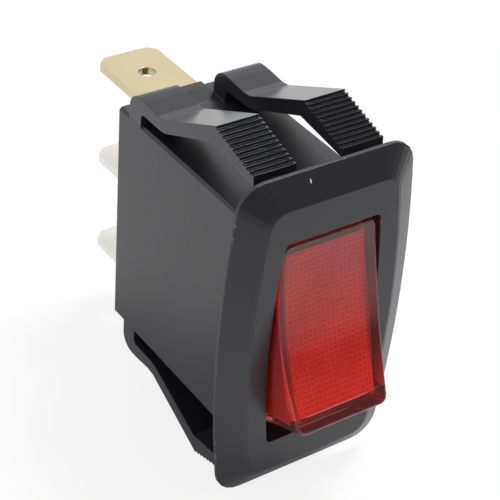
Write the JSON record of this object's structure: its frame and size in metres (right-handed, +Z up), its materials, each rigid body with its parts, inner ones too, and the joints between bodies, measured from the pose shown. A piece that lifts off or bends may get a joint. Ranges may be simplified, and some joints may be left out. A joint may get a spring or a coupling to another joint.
{
  "type": "panel rocker switch",
  "caption": "Lighted snap-in panel rocker switch with a red clear rocker, toothed snap arms and push-on tabs, shown with its top end pressed in.",
  "frame": {"origin": "centre of the bezel's back face, where it lies on the panel", "axes": "+X to the right seen from the front, +Y from the panel back to the terminals, +Z up the long side"},
  "size_m": [0.0196, 0.0388, 0.036],
  "materials": {
    "black_nylon": "fine moulded satin",
    "tinned_brass": "dull tin plate",
    "brass": "stamped, pale",
    "silver": "contact silver",
    "copper": "rolled copper strip",
    "red_clear_plastic": "clear red, prismatic inside",
    "white_nylon": "moulded",
    "ivory_nylon": "moulded",
    "lamp_glass": "clear",
    "nickel_wire": "drawn wire",
    "resistor_coating": "lacquered",
    "spring_steel": "drawn wire"
  },
  "bodies": {
    "root": {"housing": "black_nylon", "line_terminal": "tinned_brass", "load_terminal": "tinned_brass", "lamp_terminal": "brass", "fixed_contact": "silver", "upper_lamp_spring": "spring_steel", "lower_lamp_spring": "spring_steel"},
    "rocker": {"rocker_lens": "red_clear_plastic", "lamp_carrier": "white_nylon", "lamp_glass": "lamp_glass", "lamp_electrodes": "nickel_wire", "lamp_lead": "nickel_wire", "resistor": "resistor_coating", "resistor_leads": "nickel_wire", "upper_lamp_contact": "brass", "lower_lamp_contact": "brass", "plunger_spring": "spring_steel"},
    "plunger": {"plunger": "ivory_nylon"},
    "lever": {"contact_lever": "copper", "moving_contact": "silver"}
  },
  "joints": [
    {"name": "rocker_pivot", "type": "hinge", "parent": "root", "child": "rocker", "pos_m": [0, 0.0025, 0], "axis": [1, 0, 0], "range_deg": [0, 32], "deforming": ["upper_lamp_spring", "lower_lamp_spring"]},
    {"name": "plunger_slide", "type": "slide", "parent": "rocker", "child": "plunger", "axis": [0, -0.9613, 0.2756], "range_m": [0, 0.0008], "stiffness_N_per_m": 20, "springref_m": -0.003, "deforming": ["plunger_spring"]},
    {"name": "lever_pivot", "type": "hinge", "parent": "root", "child": "lever", "pos_m": [0, 0.01462, 0], "axis": [1, 0, 0], "range_deg": [-10, 0]}
  ],
  "couplings": [
    {"joint": "lever_pivot", "follows": "rocker_pivot", "ratio": -0.3125}
  ]
}
